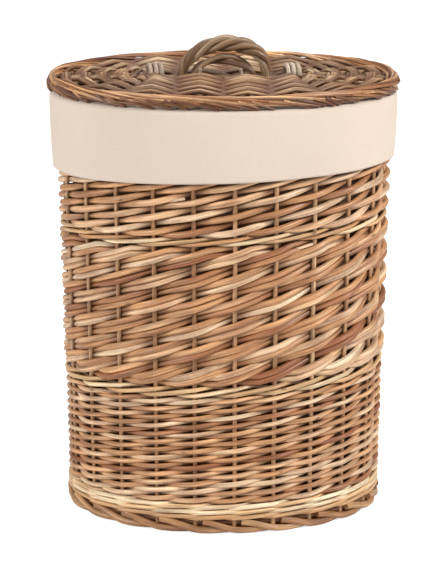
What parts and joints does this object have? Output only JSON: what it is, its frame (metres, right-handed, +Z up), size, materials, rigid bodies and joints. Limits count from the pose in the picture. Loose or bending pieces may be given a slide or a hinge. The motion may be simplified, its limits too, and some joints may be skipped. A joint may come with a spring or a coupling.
{
  "type": "laundry hamper",
  "caption": "Tall oval woven willow hamper with a cotton liner folded over its rim and a flat lift-off woven lid with a twisted arch handle.",
  "frame": {"origin": "middle of the oval footprint, on the floor", "axes": "+Z up, X along the oval's length, the front faces -Y"},
  "size_m": [0.48, 0.36, 0.6571],
  "materials": {
    "wall_willow": "satin steamed willow rods",
    "stake_willow": "satin steamed willow rods",
    "ring_willow": "satin paler willow rods",
    "border_willow": "satin reddish willow rods",
    "base_willow": "matt willow rods",
    "lid_willow": "satin greyish willow rods",
    "handle_willow": "satin greyish willow rods",
    "pale_willow": "matt peeled willow",
    "liner_cotton": "plain-woven cream cotton"
  },
  "bodies": {
    "basket": {"base_cross_stick_1": "base_willow", "base_cross_stick_2": "base_willow", "base_cross_stick_3": "base_willow", "base_cross_stick_4": "base_willow", "base_cross_stick_5": "base_willow", "base_end_sticks": "base_willow", "base_long_stick_1": "base_willow", "base_long_stick_2": "base_willow", "base_long_stick_3": "base_willow", "base_weave": "base_willow", "foot_border": "border_willow", "lower_randing": "wall_willow", "lower_ring_wale": "ring_willow", "middle_slewing": "wall_willow", "rim_border": "border_willow", "rim_wale": "wall_willow", "side_stake_01": "stake_willow", "side_stake_02": "stake_willow", "side_stake_03": "stake_willow", "side_stake_04": "stake_willow", "side_stake_05": "stake_willow", "side_stake_06": "stake_willow", "side_stake_07": "stake_willow", "side_stake_08": "stake_willow", "side_stake_09": "stake_willow", "side_stake_10": "stake_willow", "side_stake_11": "stake_willow", "side_stake_12": "stake_willow", "side_stake_13": "stake_willow", "side_stake_14": "stake_willow", "side_stake_15": "stake_willow", "side_stake_16": "stake_willow", "side_stake_17": "stake_willow", "side_stake_18": "stake_willow", "side_stake_19": "stake_willow", "side_stake_20": "stake_willow", "side_stake_21": "stake_willow", "side_stake_22": "stake_willow", "upper_randing": "wall_willow", "upper_ring_wale": "ring_willow", "upsett_wale": "wall_willow"},
    "liner": {"liner_bag": "liner_cotton", "liner_bottom": "liner_cotton", "liner_cuff": "liner_cotton"},
    "lid": {"handle_strand_1": "handle_willow", "handle_strand_2": "handle_willow", "handle_strand_3": "handle_willow", "lashing_left": "pale_willow", "lashing_right": "pale_willow", "lid_border": "border_willow", "lid_cross_stick_1": "lid_willow", "lid_cross_stick_2": "lid_willow", "lid_cross_stick_3": "lid_willow", "lid_cross_stick_4": "lid_willow", "lid_end_sticks": "lid_willow", "lid_long_stick_1": "lid_willow", "lid_long_stick_2": "lid_willow", "lid_long_stick_3": "lid_willow", "lid_weave": "lid_willow"}
  },
  "joints": [
    {"name": "liner_lift", "type": "slide", "parent": "basket", "child": "liner", "axis": [0, 0, 1], "range_m": [0, 0.58]},
    {"name": "lid_lift", "type": "slide", "parent": "liner", "child": "lid", "axis": [0, 0, 1], "range_m": [0, 0.15]}
  ]
}
